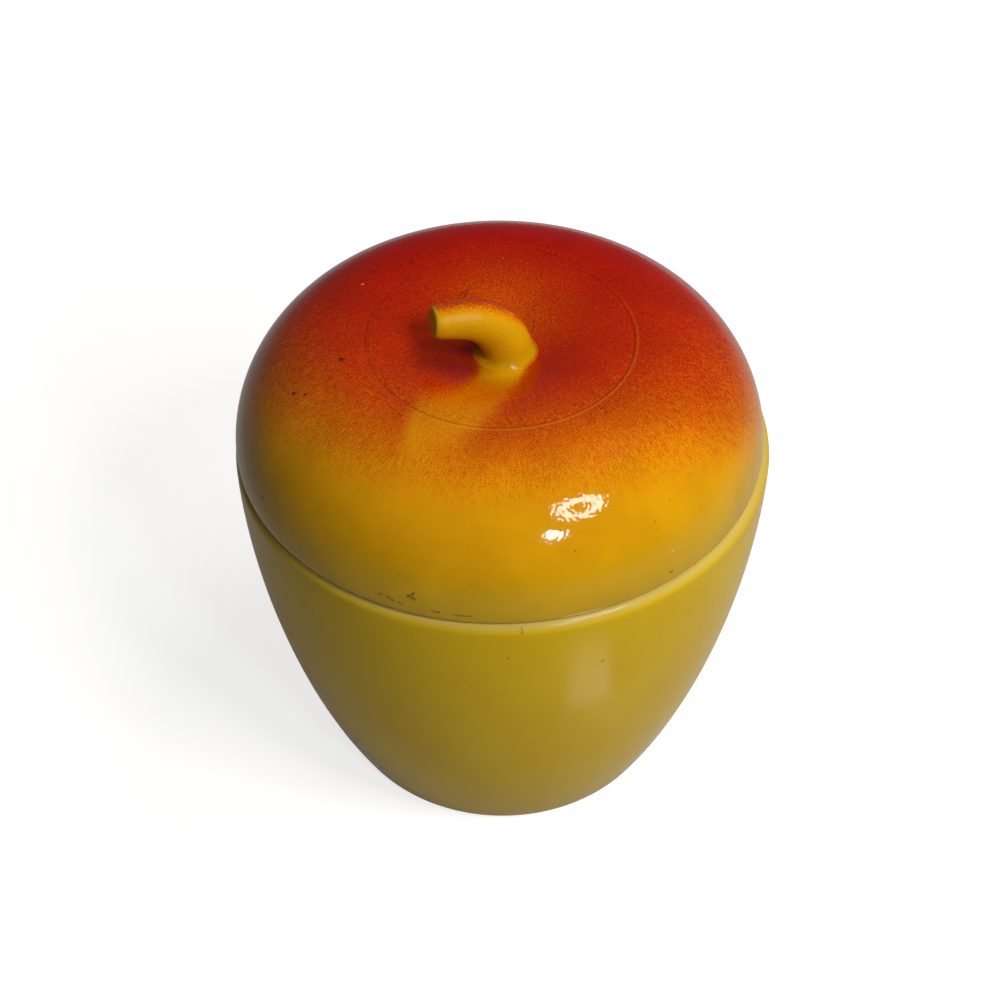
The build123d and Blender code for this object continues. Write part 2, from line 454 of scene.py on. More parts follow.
def pot_glaze():
    """Satin mustard glaze, pooled under the lip, pale on it partly as a painted highlight, glossier inside,
    bare under the foot.
    """
    material, tree, shader, place, _ = new_glaze("pot_glaze", pot_gloss)
    height = height_of(tree, place)
    radius = measure_of(tree, "LENGTH", vector_of(tree, "MULTIPLY", place, (1, 1, 0)))

    # The glaze is mottled, pooled in a strip under the lip, and pale on the lip, partly thin glaze and
    # partly a painted highlight of the light on its round
    cloud = noise_of(tree, place, 0.07, 3.0)
    grain = noise_of(tree, place, 2.4, 2.0)
    tone = times_plus(tree, grain, 0.35, times(tree, cloud, 0.8))
    colour = mix_of(tree, ramp_of(tree, tone, 0.4, 0.8), pot_pool_colour, pot_glaze_colour)
    rim = pot_height / mm
    strip = ramp_of(tree, height, rim - 6.0, rim - 2.8)
    colour = stained(tree, colour, strip, 0.55, pot_pool_colour)
    lip = ramp_of(tree, height, rim - 1.6, rim - 0.2)
    colour = stained(tree, colour, lip, 0.75, pot_lip_pale_and_highlight_colour)

    specks = specks_of(tree, place, spacing=7.0, size=0.22, share=0.35)
    colour = stained(tree, colour, specks, 0.55, soot_colour)
    marks = spots_of(tree, place, pot_marks, 0.3)
    colour = stained(tree, colour, marks, 0.7, soot_colour)
    nick = scratches_of(tree, place, lip_nick, 0.15)
    colour = stained(tree, colour, nick, 0.55, nick_brown)

    # The wiped foot ring, with a glaze line that wavers
    waver = noise_of(tree, place, 0.35, 2.0)
    line = times_plus(tree, waver, -0.9, height)
    foot = ramp_of(tree, line, -0.15, 0.05, 1.0, 0.0)
    dust = mix_of(tree, grain, bare_clay_colour, clay_dust_colour)
    colour = mix_of(tree, foot, colour, dust)
    tree.links.new(colour, shader["Base Color"])

    # It is glossier inside and on the lip, and dull where it was wiped off
    inner = rim_radius / mm - 6.0
    within = ramp_of(tree, radius, inner - 3.0, inner, 1.0, 0.0)
    inside = times(tree, within, ramp_of(tree, height, 4.0, 5.0))
    roughness = times_plus(tree, cloud, 0.16, 0.13)
    roughness = times_plus(tree, inside, -0.1, roughness)
    roughness = times_plus(tree, lip, -0.08, roughness)
    roughness = times_plus(tree, foot, 0.6, roughness)
    tree.links.new(roughness, shader["Roughness"])
    tree.links.new(times(tree, lip, 0.2), shader["Coat Weight"])
    shader["Coat Roughness"].default_value = 0.35

    ripple = ripple_of(tree, place, waver=5.0, peel=16.0, pinholes=6.0)
    ripple = times_plus(tree, times(tree, grain, foot), 12.0, ripple)
    raise_surface(tree, shader, ripple)
    return material


turned_ware = turned_ware_tree()
glaze_ripple = glaze_ripple_group()
kiln_specks = kiln_specks_group()
pot = make_piece(
    "pot_body",
    turned_ware,
    pot_outline(),
    {
        "Segments": pot_segments,
        "Axis": (0, 0, 0),
        "Unevenness": pot_unevenness,
        "Swell size": pot_swell_size,
        "True foot": 0.0,
        "True rim": pot_height,
        "True margin": true_margin,
        "Material": pot_glaze(),
    },
)
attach(pot, "pot")
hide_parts("pot")

# Lid: the domed cover, a second casting in the same clay, glazed a glossy gold and sprayed red from behind.
# A hollow on top holds the stalk inside a fine tooled line, and a flange drops into the pot's mouth.
# It has slid to one side by its play, so the pot's lip shows more at the other.
lid_low, lid_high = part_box("lid")
lid_radius = (lid_high.x - lid_low.x) / 2
lid_axis = Vector(((lid_high.x + lid_low.x) / 2, 0, 0))
seat_z = pot_height
crest_z = lid_high.z
flange_bottom = lid_low.z
lid_edge_round = 0.8 * mm
side_fullness = 0.46
shoulder_fullness = 0.62
ring_radius = 22.5 * mm
ring_drop = 0.15 * mm
ring_step = 0.2 * mm
tool_line_depth = 0.1 * mm
crest_width = 2.5 * mm
crest_radius = ring_radius + crest_width
dish_depth = 3.1 * mm
dish_slope = radians(21)
dish_evenness = 0.34
land_radius = 6.6 * mm
land_z = crest_z - ring_drop - ring_step - dish_depth
lid_wall = 4.0 * mm
lid_play = 0.9 * mm
flange_radius = rim_radius - pot_wall - lid_play
flange_thickness = 3.2 * mm
flange_round = 0.8 * mm
seat_round = 0.4 * mm
lid_segments = 256
lid_unevenness = 0.06 * mm
lid_swell_size = 20 * mm
lid_gloss = 0.23

# The spray: where the gun stood and aimed, in millimetres, and where the hand left more or less of it
spray_gun = (87.3, 165.8, 408.0)
spray_aim = (14.9, 44.1, 88.0)
spray_spread = 0.14
spray_load = 4.3
spray_build = 1.3
spray_unevenness = (
    ((3.5, 12.5, 90.0), 15.0, -1.15),
    ((9.0, -9.0, 89.5), 8.0, 0.26),
    ((32.0, -23.0, 84.0), 13.0, 0.55),
)
low_pass_heading = radians(65)
low_pass_height = radians(16.5)
shelter_taper = 1.8

# The tooled line: the side where its darkening shows most, as painted shade of its step, and the side where
# its outer edge is lightened as a painted highlight
line_shaded_side = (-0.45, -0.89, 0)
line_lit_side = (0.5, -0.87, 0)

# Colours, from the bare seam to the thickest red, where that pooled under the stalk's arm with painted
# shade over it, and those of the marks
seam_yellow = (0.53, 0.307, 0.002, 1)
golden_yellow = (0.635, 0.267, 0.001, 1)
sprayed_orange = (0.545, 0.115, 0.001, 1)
sprayed_red = (0.43, 0.027, 0.0005, 1)
deep_red = (0.355, 0.002, 0.0005, 1)
pool_and_shade_place = (-8.0, -0.8, land_z / mm)
pool_and_shade_tone = (0.64, 0.38, 0.4, 1)
speck_brown = (0.12, 0.03, 0.004, 1)
line_brown = (0.15, 0.010, 0.002, 1)
mark_brown = (0.10, 0.008, 0.004, 1)
scratch_brown = (0.13, 0.008, 0.002, 1)
scuff_brown = (0.07, 0.025, 0.003, 1)
chip_colour = (0.62, 0.40, 0.20, 1)

# Marks in the glaze, given as those on the pot are
lid_marks = (
    ((-26.9, 2.4, 91.0), 0.55),
    ((-35.8, -0.2, 88.3), 0.4),
    ((-34.3, -1.9, 89.1), 0.35),
    ((-44.2, -9.1, 75.4), 0.4),
    ((15.0, 20.1, 91.1), 0.22),
    ((19.1, 20.4, 90.8), 0.2),
    ((6.7, 20.7, 90.7), 0.25),
    ((-15.6, 23.1, 90.9), 0.3),
    ((11.9, -39.9, 81.8), 0.13),
    ((15.2, -37.6, 83.3), 0.13),
    ((-2.0, -41.9, 81.6), 0.14),
)
lid_chips = (((6.6, 19.8, 90.7), 0.22), ((-18.4, 20.3, 91.0), 0.25), ((14.5, -41.8, 76.2), 0.3))
scratches = (
    ((12.7, 20.0, 91.1), (16.1, 16.6, 91.0), 0.14),
    ((17.0, 15.5, 91.0), (19.3, 12.4, 91.0), 0.12),
    ((17.1, 11.0, 90.7), (20.4, 8.7, 91.0), 0.13),
    ((21.6, 8.1, 91.0), (23.0, 7.9, 91.1), 0.14),
    ((-3.7, 13.0, 89.8), (-2.4, 14.3, 90.0), 0.16),
    ((-2.7, 13.1, 89.8), (-1.2, 14.8, 90.1), 0.16),
    ((-11.5, 19.7, 90.9), (-9.9, 20.2, 90.8), 0.13),
    ((7.1, 5.1, 88.7), (6.2, 2.8, 88.0), 0.15),
    ((38.0, -7.1, 85.1), (38.4, -8.4, 84.4), 0.18),
)
seam_scuffs = (
    ((-31.4, -32.9, 72.8), (-29.8, -34.3, 72.6), 0.16),
    ((-29.6, -34.5, 72.3), (-28.3, -35.6, 72.1), 0.26),
    ((-26.7, -36.4, 74.7), (-27.1, -36.3, 73.7), 0.3),
    ((-27.4, -36.0, 74.0), (-26.5, -36.6, 73.6), 0.28),
    ((-24.3, -38.4, 72.1), (-23.4, -39.0, 71.8), 0.2),
    ((-21.2, -40.2, 71.8), (-18.7, -41.3, 71.8), 0.2),
    ((13.6, -42.8, 72.6), (14.4, -42.6, 72.4), 0.18),
)

# The stalk's centreline and root, which the spray's shelter needs here
stalk_setback = 1.0 * mm
stalk_root = Vector((lid_axis.x + stalk_setback, 0, land_z))
stalk_root_radius = 4.6 * mm
stalk_rise = 0.1 * mm
stalk_bend_radius = 8.5 * mm
stalk_turn = radians(82)
stalk_reach = 5.2 * mm
stalk_length = stalk_rise + stalk_bend_radius * stalk_turn + stalk_reach


def dome_handles(crest, side):
    """Inner control points of a shoulder that is level at its crest and upright at its side."""
    level = (crest[0] + (side[0] - crest[0]) * shoulder_fullness, crest[1])
    return level, (side[0], side[1] + (crest[1] - side[1]) * side_fullness)


def dish_handles(foot, brim, slope):
    """Inner control points of a hollow that leaves its foot at the slope and is level at its brim."""
    width = (brim[0] - foot[0]) * dish_evenness
    return (foot[0] + width, foot[1] + width * tan(slope)), (brim[0] - width, brim[1])


def lid_outline():
    """Section of the lid, from the middle of its underside to the seat and over the top to the stalk."""
    bore = flange_radius - flange_thickness
    under_land = (land_radius, land_z - lid_wall)
    under_crest = (crest_radius, crest_z - lid_wall)
    bore_top = (bore, seat_z)
    side = (lid_radius, seat_z + lid_edge_round)
    edge_centre = (lid_radius - lid_edge_round, seat_z + lid_edge_round)
    crest = (crest_radius, crest_z)
    ring = (ring_radius, crest_z - ring_drop)
    brow = ((ring_radius + crest_radius) / 2, crest_z)
    near_ring = tuple((2 * b + r) / 3 for b, r in zip(brow, ring))
    near_crest = tuple((2 * b + c) / 3 for b, c in zip(brow, crest))
    step = (ring_radius - 2.0 * ring_step, ring[1] - 0.3 * tool_line_depth)
    tool_tip = (ring_radius - ring_step, ring[1] - tool_line_depth)
    land = (land_radius, land_z)
    corner = flange_round
    return [
        *straight((0, under_land[1]), under_land, 8),
        *swelling(under_land, *dish_handles(under_land, under_crest, 0.0), under_crest, 28),
        *swelling(under_crest, *dome_handles(under_crest, bore_top), bore_top, 36),
        *straight(bore_top, (bore, flange_bottom + corner), 6),
        *rounded((bore + corner, flange_bottom + corner), corner, pi, pi / 2, 6),
        *straight((bore + corner, flange_bottom), (flange_radius - corner, flange_bottom), 3),
        *rounded((flange_radius - corner, flange_bottom + corner), corner, -pi / 2, pi / 2, 6),
        *straight((flange_radius, flange_bottom + corner), (flange_radius, seat_z - seat_round), 6),
        *rounded((flange_radius + seat_round, seat_z - seat_round), seat_round, pi, -pi / 2, 5),
        *straight((flange_radius + seat_round, seat_z), (lid_radius - lid_edge_round, seat_z), 4),
        *rounded(edge_centre, lid_edge_round, -pi / 2, pi / 2, 8),
        *reversed(swelling(crest, *dome_handles(crest, side), side, 72)),
        *reversed(swelling(ring, near_ring, near_crest, crest, 16)),
        *straight(ring, tool_tip, 2),
        *straight(tool_tip, step, 2),
        *reversed(swelling(land, *dish_handles(land, step, dish_slope), step, 44)),
        *reversed(straight((0, land_z), land, 10)),
    ]


def bell_of(tree, ratio):
    """A bell curve: 1 in the middle, and fading with the square of the ratio."""
    return math_of(tree, "EXPONENT", times(tree, times(tree, ratio, ratio), -1.0))


def sprayed_blush_group():
    """Cover of a sprayed colour: grainy, and thinner with distance, slant and angle off the gun's aim."""
    tree, given, result = new_tree(
        "Sprayed blush",
        "ShaderNodeTree",
        {
            "Position": "Vector",
            "Normal": "Vector",
            "Gun": "Vector",
            "Aim": "Vector",
            "Spread": "Float",
            "Load": "Float",
            "Build": "Float",
            "Held back": "Float",
            "Unevenness": "Float",
            "Grain": "Float",
            "Streaks": "Float",
        },
        {"Cover": "Float"},
    )
    place = given["Position"]
    to_gun = vector_of(tree, "SUBTRACT", given["Gun"], place)
    way = vector_of(tree, "NORMALIZE", to_gun)
    axis = vector_of(tree, "SUBTRACT", given["Gun"], given["Aim"])
    slant = math_of(tree, "SMOOTH_MAX", measure_of(tree, "DOT_PRODUCT", given["Normal"], way), 0.0, 0.25)
    axis_way = vector_of(tree, "NORMALIZE", axis)
    off = math_of(tree, "ARCCOSINE", measure_of(tree, "DOT_PRODUCT", way, axis_way))
    ratio = math_of(tree, "DIVIDE", off, given["Spread"])
    fall = bell_of(tree, ratio)
    reach = math_of(tree, "DIVIDE", measure_of(tree, "LENGTH", axis), measure_of(tree, "LENGTH", to_gun))
    thin = times(tree, times(tree, reach, reach), fall)
    laid = times(tree, times(tree, slant, thin), given["Load"])
    laid = times(tree, laid, minus(tree, 1.0, given["Held back"]))
    film = math_of(tree, "POWER", laid, given["Build"])

    # Droplets, and short runs of them down the slope
    drops = noise_of(tree, place, 5.0, 0.5)
    parts = add_node(tree, "ShaderNodeSeparateXYZ", place).outputs
    level = vector_of(tree, "MULTIPLY", place, (1, 1, 0))
    outward = add_node(tree, "ShaderNodeSeparateXYZ", vector_of(tree, "NORMALIZE", level)).outputs
    fall_line = minus(tree, parts["Z"], measure_of(tree, "LENGTH", level))
    runs_at = add_node(
        tree,
        "ShaderNodeCombineXYZ",
        times(tree, outward["X"], 130.0),
        times(tree, outward["Y"], 130.0),
        times(tree, fall_line, 0.6),
    ).outputs[0]
    runs = noise_of(tree, runs_at, 1.0, 2.0)
    grainy = minus(tree, drops, 0.5)
    streaky = minus(tree, runs, 0.5)
    unrest = times_plus(tree, grainy, given["Grain"], given["Unevenness"])
    unrest = times_plus(tree, streaky, given["Streaks"], unrest)
    film = times(tree, film, math_of(tree, "EXPONENT", unrest))
    bare = math_of(tree, "EXPONENT", times(tree, film, -1.0))
    tree.links.new(minus(tree, 1.0, bare), result["Cover"])
    return tree


def stalk_station(along):
    """The place on the stalk's centreline at a length along it."""
    angle = min(max(along - stalk_rise, 0.0) / stalk_bend_radius, stalk_turn)
    beyond = max(along - stalk_rise - stalk_bend_radius * stalk_turn, 0.0)
    out = stalk_bend_radius * (1 - cos(angle)) + beyond * sin(angle)
    up = min(along, stalk_rise) + stalk_bend_radius * sin(angle) + beyond * cos(angle)
    return stalk_root + Vector((-out, 0, up))


def stalk_shelter(tree, place):
    """Mask of the lid's surface that the stalk kept a low pass of the spray from, fading with distance."""
    level = cos(low_pass_height)
    way = (level * cos(low_pass_heading), level * sin(low_pass_heading), sin(low_pass_height))
    mask = 0.0
    stations = 9
    for i in range(stations):
        along = stalk_length * (i + 0.5) / stations
        thickness = stalk_root_radius / mm - shelter_taper * along / stalk_length
        to_stalk = vector_of(tree, "SUBTRACT", tuple(stalk_station(along) / mm), place)
        beside = measure_of(tree, "LENGTH", vector_of(tree, "CROSS_PRODUCT", to_stalk, way))
        ahead = measure_of(tree, "DOT_PRODUCT", to_stalk, way)
        starts = ramp_of(tree, ahead, -0.5, 0.8)
        fades = ramp_of(tree, ahead, 5.0, 14.0, 1.0, 0.6)
        ends = ramp_of(tree, ahead, 20.0, 32.0, 1.0, 0.0)
        lee = times(tree, times(tree, starts, fades), ends)
        edge = ramp_of(tree, beside, thickness - 1.8, thickness + 1.2, 1.0, 0.0)
        mask = math_of(tree, "MAXIMUM", times(tree, edge, lee), mask)
    return mask


def uneven_spray(tree, place):
    """Change of the film, as a logarithm, where the hand moved on too soon or came back."""
    change = 0.0
    for centre, reach, amount in spray_unevenness:
        ratio = math_of(tree, "DIVIDE", measure_of(tree, "DISTANCE", place, centre), reach)
        change = times_plus(tree, bell_of(tree, ratio), amount, change)
    return change


def lid_spray_group():
    """Cover of red on the lid, with the stalk's shelter, the hand's unevenness and a mist of drops."""
    tree, given, result = new_tree(
        "Lid spray",
        "ShaderNodeTree",
        {"Position": "Vector", "Normal": "Vector", "Thinned": "Float"},
        {"Cover": "Float"},
    )
    place = given["Position"]
    centred = vector_of(tree, "SUBTRACT", place, tuple(lid_axis / mm))
    radius = measure_of(tree, "LENGTH", vector_of(tree, "MULTIPLY", centred, (1, 1, 0)))
    streaks = ramp_of(tree, radius, ring_radius / mm, ring_radius / mm + 12.0, 0.7, 2.3)
    cover = use_group(
        tree,
        sprayed_blush,
        {
            "Position": place,
            "Normal": given["Normal"],
            "Gun": spray_gun,
            "Aim": spray_aim,
            "Spread": spray_spread,
            "Load": spray_load,
            "Build": spray_build,
            "Held back": times(tree, stalk_shelter(tree, place), 0.95),
            "Unevenness": math_of(tree, "ADD", uneven_spray(tree, place), given["Thinned"]),
            "Grain": 2.9,
            "Streaks": streaks,
        },
    )["Cover"]
    height = height_of(tree, place)
    mist = ramp_of(tree, height, seat_z / mm + 2.0, seat_z / mm + 14.0, 0.0, 0.06)
    tree.links.new(math_of(tree, "MAXIMUM", cover, mist), result["Cover"])
    return tree


def blush_colours_group():
    """Colour of the golden glaze under a cover of red."""
    tree, given, result = new_tree(
        "Blush colours",
        "ShaderNodeTree",
        {"Cover": "Float"},
        {"Color": "Color"},
    )
    ramp = tree.nodes.new("ShaderNodeValToRGB")
    tree.links.new(given["Cover"], ramp.inputs[0])
    stops = (
        (0.0, seam_yellow),
        (0.08, golden_yellow),
        (0.29, sprayed_orange),
        (0.62, sprayed_red),
        (0.97, deep_red),
    )
    while len(ramp.color_ramp.elements) < len(stops):
        ramp.color_ramp.elements.new(0.5)
    for element, (position, colour) in zip(ramp.color_ramp.elements, stops):
        element.position = position
        element.color = colour
    tree.links.new(ramp.outputs[0], result["Color"])
    return tree


def lid_glaze():
    """Glossy golden glaze under the sprayed red, with a wiped seat, scuffs over the seam and kiln marks."""
    material, tree, shader, place, normal = new_glaze("lid_glaze", lid_gloss)
    height = height_of(tree, place)
    centred = vector_of(tree, "SUBTRACT", place, tuple(lid_axis / mm))
    level = vector_of(tree, "MULTIPLY", centred, (1, 1, 0))
    radius = measure_of(tree, "LENGTH", level)

    # In the tooled line the glaze pooled, and the line is painted darker towards the front-left as shade of
    # its step; on its outer edge, towards the front-right, the red is thinned where the glaze runs thin,
    # standing as a painted highlight where the edge catches the light
    from_line = minus(tree, radius, ring_radius / mm)
    upper_side = ramp_of(tree, height, crest_z / mm - 1.2, crest_z / mm - 0.9)
    pooled_and_shaded = math_of(tree, "ABSOLUTE", math_of(tree, "ADD", from_line, 0.2))
    in_line = times(tree, ramp_of(tree, pooled_and_shaded, 0.4, 0.7, 1.0, 0.0), upper_side)
    pooled_and_shaded = times(tree, ramp_of(tree, pooled_and_shaded, 0.05, 0.4, 1.0, 0.0), upper_side)
    towards_open = measure_of(tree, "DOT_PRODUCT", level, line_shaded_side)
    line_shade_share = ramp_of(tree, towards_open, -16.0, 4.0, 0.1, 1.0)
    line_fade_noise = noise_of(tree, place, 0.3, 2.0)
    line_shade_share = times(tree, line_shade_share, ramp_of(tree, line_fade_noise, 0.35, 0.6, 0.35, 1.0))
    pooled_and_shaded = times(tree, pooled_and_shaded, line_shade_share)
    near_side = ramp_of(tree, measure_of(tree, "DOT_PRODUCT", level, line_lit_side), 0.0, 14.0)
    lit_thin_edge = math_of(tree, "ABSOLUTE", minus(tree, from_line, 0.35))
    lit_thin_edge = times(tree, ramp_of(tree, lit_thin_edge, 0.1, 0.35, 1.0, 0.0), near_side)
    edge_lit_thinning = times(tree, times(tree, lit_thin_edge, upper_side), -0.6)
    to_level = vector_of(tree, "SUBTRACT", (0, 0, 1), normal)
    facing = vector_of(tree, "MULTIPLY_ADD", to_level, in_line, normal)
    cover = use_group(tree, lid_spray, {"Position": place, "Normal": facing, "Thinned": edge_lit_thinning})["Cover"]
    colour = use_group(tree, blush_colours, {"Cover": cover})["Color"]
    cloud = noise_of(tree, place, 0.11, 3.0)
    shade = ramp_of(tree, cloud, 0.3, 0.7, 0.93, 1.05)
    toned = add_node(tree, "ShaderNodeCombineColor", shade, shade, shade).outputs[0]
    colour = mix_of(tree, 1.0, colour, toned, "MULTIPLY")

    # Under the stalk's arm the red lies thick beside the root, where it pooled, and the colour there is
    # also darkened as painted shade of the arm
    from_pool_and_shade = measure_of(tree, "DISTANCE", place, pool_and_shade_place)
    thick_and_shaded = ramp_of(tree, from_pool_and_shade, 2.0, 10.0, 0.9, 0.0)
    colour = mix_of(tree, thick_and_shaded, colour, pool_and_shade_tone, "MULTIPLY")

    specks = specks_of(tree, place, spacing=6.0, size=0.2, share=0.3)
    colour = stained(tree, colour, specks, 0.5, speck_brown)
    # The tooled line's darkening: pooled glaze, with painted shade of its step towards the front-left
    colour = stained(tree, colour, pooled_and_shaded, 0.4, line_brown)
    marks = spots_of(tree, place, lid_marks, 0.35)
    colour = stained(tree, colour, marks, 0.85, mark_brown)
    scored = scratches_of(tree, place, scratches, 0.3)
    colour = stained(tree, colour, scored, 0.6, scratch_brown)
    broken = noise_of(tree, place, 2.6, 1.0)
    scuffed = scratches_of(tree, place, seam_scuffs, 0.8)
    scuffed = times(tree, scuffed, ramp_of(tree, broken, 0.36, 0.5))
    colour = stained(tree, colour, scuffed, 0.85, scuff_brown)
    chips = spots_of(tree, place, lid_chips, 0.3)
    colour = stained(tree, colour, chips, 0.6, chip_colour)

    # The seat and the flange, wiped bare from the bore to just inside the edge
    seat = seat_z / mm
    side = lid_radius / mm
    bore = (flange_radius - flange_thickness) / mm
    under = ramp_of(tree, height, seat + 0.1, seat + 0.3, 1.0, 0.0)
    wiped = times(tree, under, ramp_of(tree, radius, side - 1.2, side - 0.7, 1.0, 0.0))
    rubbed = times(tree, wiped, ramp_of(tree, radius, bore - 1.7, bore - 0.7))
    colour = mix_of(tree, rubbed, colour, bare_clay_colour)
    tree.links.new(colour, shader["Base Color"])

    roughness = times_plus(tree, cloud, 0.06, 0.05)
    roughness = times_plus(tree, scuffed, 0.2, roughness)
    roughness = times_plus(tree, rubbed, 0.6, roughness)
    tree.links.new(roughness, shader["Roughness"])

    ripple = ripple_of(tree, place, waver=8.0, peel=22.0, pinholes=6.0)
    ripple = times_plus(tree, scored, -8.0, ripple)
    raise_surface(tree, shader, ripple)
    return material


sprayed_blush = sprayed_blush_group()
lid_spray = lid_spray_group()
blush_colours = blush_colours_group()
lid = make_piece(
    "lid_dome",
    turned_ware,
    lid_outline(),
    {
        "Segments": lid_segments,
        "Axis": lid_axis,
        "Unevenness": lid_unevenness,
        "Swell size": lid_swell_size,
        "True foot": seat_z,
        "True rim": seat_z,
        "True margin": true_margin,
        "Material": lid_glaze(),
    },
)
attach(lid, "lid")
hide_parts("lid")

# Stalk: the knob, a bent apple stalk moulded by itself in the same clay and luted onto the land with slip.
# The slip spreads round its root as a soft fillet, and its tip is cut off square.
# It has the golden glaze, with red where the spray caught its far side.
stalk_foot_spread = 1.3 * mm
stalk_flare_height = 2.2 * mm
stalk_tip_radius = 2.75 * mm
stalk_tip_round = 0.8 * mm
stalk_segments = 96
stalk_unevenness = 0.3 * mm
stalk_swell_size = 5 * mm
stalk_sink = 0.1 * mm
stalk_gloss = 0.09
stalk_spray_load = 2.9
stalk_spray_build = 3.8
cut_end_lit_colour = (0.68, 0.44, 0.02, 1)
root_shade_olive = (0.34, 0.20, 0.002, 1)


def stalk_outline():
    """Section of the stalk as if it were straight, from the middle of its foot to the middle of its tip."""
    side = []
    steps = 72
    for i in range(steps):
        along = (stalk_length + stalk_sink - stalk_tip_round) * (i / steps) ** 1.3
        flare = 1 - (1 - max(1 - along / stalk_flare_height, 0.0) ** 2) ** 0.5
        taper = stalk_root_radius + (stalk_tip_radius - stalk_root_radius) * along / stalk_length
        side.append((taper + stalk_foot_spread * flare, along - stalk_sink))
    tip_centre = (stalk_tip_radius - stalk_tip_round, stalk_length - stalk_tip_round)
    tip_edge = (stalk_tip_radius - stalk_tip_round, stalk_length)
    return [
        *straight((0, -stalk_sink), (side[0][0], -stalk_sink), 6),
        *side,
        *rounded(tip_centre, stalk_tip_round, 0, pi / 2, 8),
        *straight(tip_edge, (0, stalk_length), 6),
        (0, stalk_length),
    ]


def bent_stalk_tree():
    """Tree that turns the stalk's outline and bends the result over a round, towards -X."""
    tree, given, result = new_tree(
        "Bent stalk",
        "GeometryNodeTree",
        {
            "Outline": "Object",
            "Segments": "Int",
            "Root": "Vector",
            "Rise": "Float",
            "Bend radius": "Float",
            "Turn": "Float",
            "Unevenness": "Float",
            "Swell size": "Float",
            "True margin": "Float",
            "Material": "Material",
        },
        {"Geometry": "Geometry"},
    )
    upright = tree.nodes.new("GeometryNodeGroup")
    upright.node_tree = turned_ware
    for name in ("Outline", "Segments", "Unevenness", "Swell size", "True margin", "Material"):
        tree.links.new(given[name], upright.inputs[name])

    # Each point keeps its place in the stalk's section, and the sections follow the bent centreline
    position = tree.nodes.new("GeometryNodeInputPosition").outputs[0]
    place = add_node(tree, "ShaderNodeSeparateXYZ", position).outputs
    past_rise = math_of(tree, "MAXIMUM", minus(tree, place["Z"], given["Rise"]), 0.0)
    turned_by = math_of(tree, "DIVIDE", past_rise, given["Bend radius"])
    angle = math_of(tree, "MINIMUM", turned_by, given["Turn"])
    bend_length = times(tree, given["Bend radius"], given["Turn"])
    beyond = math_of(tree, "MAXIMUM", minus(tree, past_rise, bend_length), 0.0)
    sine = math_of(tree, "SINE", angle)
    cosine = math_of(tree, "COSINE", angle)
    arm = math_of(tree, "ADD", place["X"], given["Bend radius"])
    swung = minus(tree, times(tree, arm, cosine), given["Bend radius"])
    aside = minus(tree, swung, times(tree, beyond, sine))
    lower = math_of(tree, "MINIMUM", place["Z"], given["Rise"])
    raised = times_plus(tree, arm, sine, lower)
    upward = times_plus(tree, beyond, cosine, raised)
    bent = add_node(tree, "ShaderNodeCombineXYZ", aside, place["Y"], upward).outputs[0]
    shape = add_node(tree, "GeometryNodeSetPosition", upright.outputs[0], named={"Position": bent})
    rooted = add_node(tree, "GeometryNodeSetPosition", shape.outputs[0], named={"Offset": given["Root"]})
    end_tree(tree, rooted.outputs[0], given, result)
    return tree


def stalk_glaze():
    """Golden glaze, red and grainy where the spray caught the far side, glossy at the root with painted
    shade there, and a cut end lightened by painted light.
    """
    material, tree, shader, place, normal = new_glaze("stalk_glaze", stalk_gloss)
    above_land = minus(tree, height_of(tree, place), land_z / mm)

    # The spray caught its far side, and the slip round its root is as red as the lid there
    slip = ramp_of(tree, above_land, 0.05, 0.6, 1.0, 0.0)
    cover = use_group(
        tree,
        sprayed_blush,
        {
            "Position": place,
            "Normal": normal,
            "Gun": spray_gun,
            "Aim": spray_aim,
            "Spread": spray_spread,
            "Load": stalk_spray_load,
            "Build": stalk_spray_build,
            "Held back": 0.0,
            "Unevenness": 0.0,
            "Grain": 7.0,
            "Streaks": 0.5,
        },
    )["Cover"]
    cover = times_plus(tree, cover, 0.92, 0.04)
    on_lid = use_group(tree, lid_spray, {"Position": place, "Normal": (0, 0, 1), "Thinned": 0.0})["Cover"]
    cover = times_plus(tree, minus(tree, on_lid, cover), slip, cover)
    colour = use_group(tree, blush_colours, {"Cover": cover})["Color"]

    # Above the root the colour darkens to olive as painted shade where the stalk meets the land
    pooled_and_shaded = ramp_of(tree, above_land, 0.4, 4.0, 0.4, 0.0)
    colour = mix_of(tree, pooled_and_shaded, colour, root_shade_olive)
    # The cut end is coloured a paler yellow, lightened as painted light on a face that lies in shade
    tip = stalk_station(stalk_length)
    lean = (-sin(stalk_turn), 0, cos(stalk_turn))
    from_tip = vector_of(tree, "SUBTRACT", place, tuple(tip / mm))
    past_tip = measure_of(tree, "DOT_PRODUCT", from_tip, lean)
    cut = ramp_of(tree, past_tip, -0.5, -0.1)
    colour = stained(tree, colour, cut, 0.9, cut_end_lit_colour)
    specks = specks_of(tree, place, spacing=3.0, size=0.16, share=0.2)
    colour = stained(tree, colour, specks, 0.5, soot_colour)
    tree.links.new(colour, shader["Base Color"])

    cloud = noise_of(tree, place, 0.4, 2.0)
    roughness = times_plus(tree, cloud, 0.1, 0.28)
    rooted = ramp_of(tree, above_land, 1.2, 3.0, 1.0, 0.0)
    roughness = times_plus(tree, rooted, -0.26, roughness)
    tree.links.new(roughness, shader["Roughness"])
    ripple = ripple_of(tree, place, waver=14.0, peel=50.0, pinholes=4.0)
    raise_surface(tree, shader, ripple)
    return material


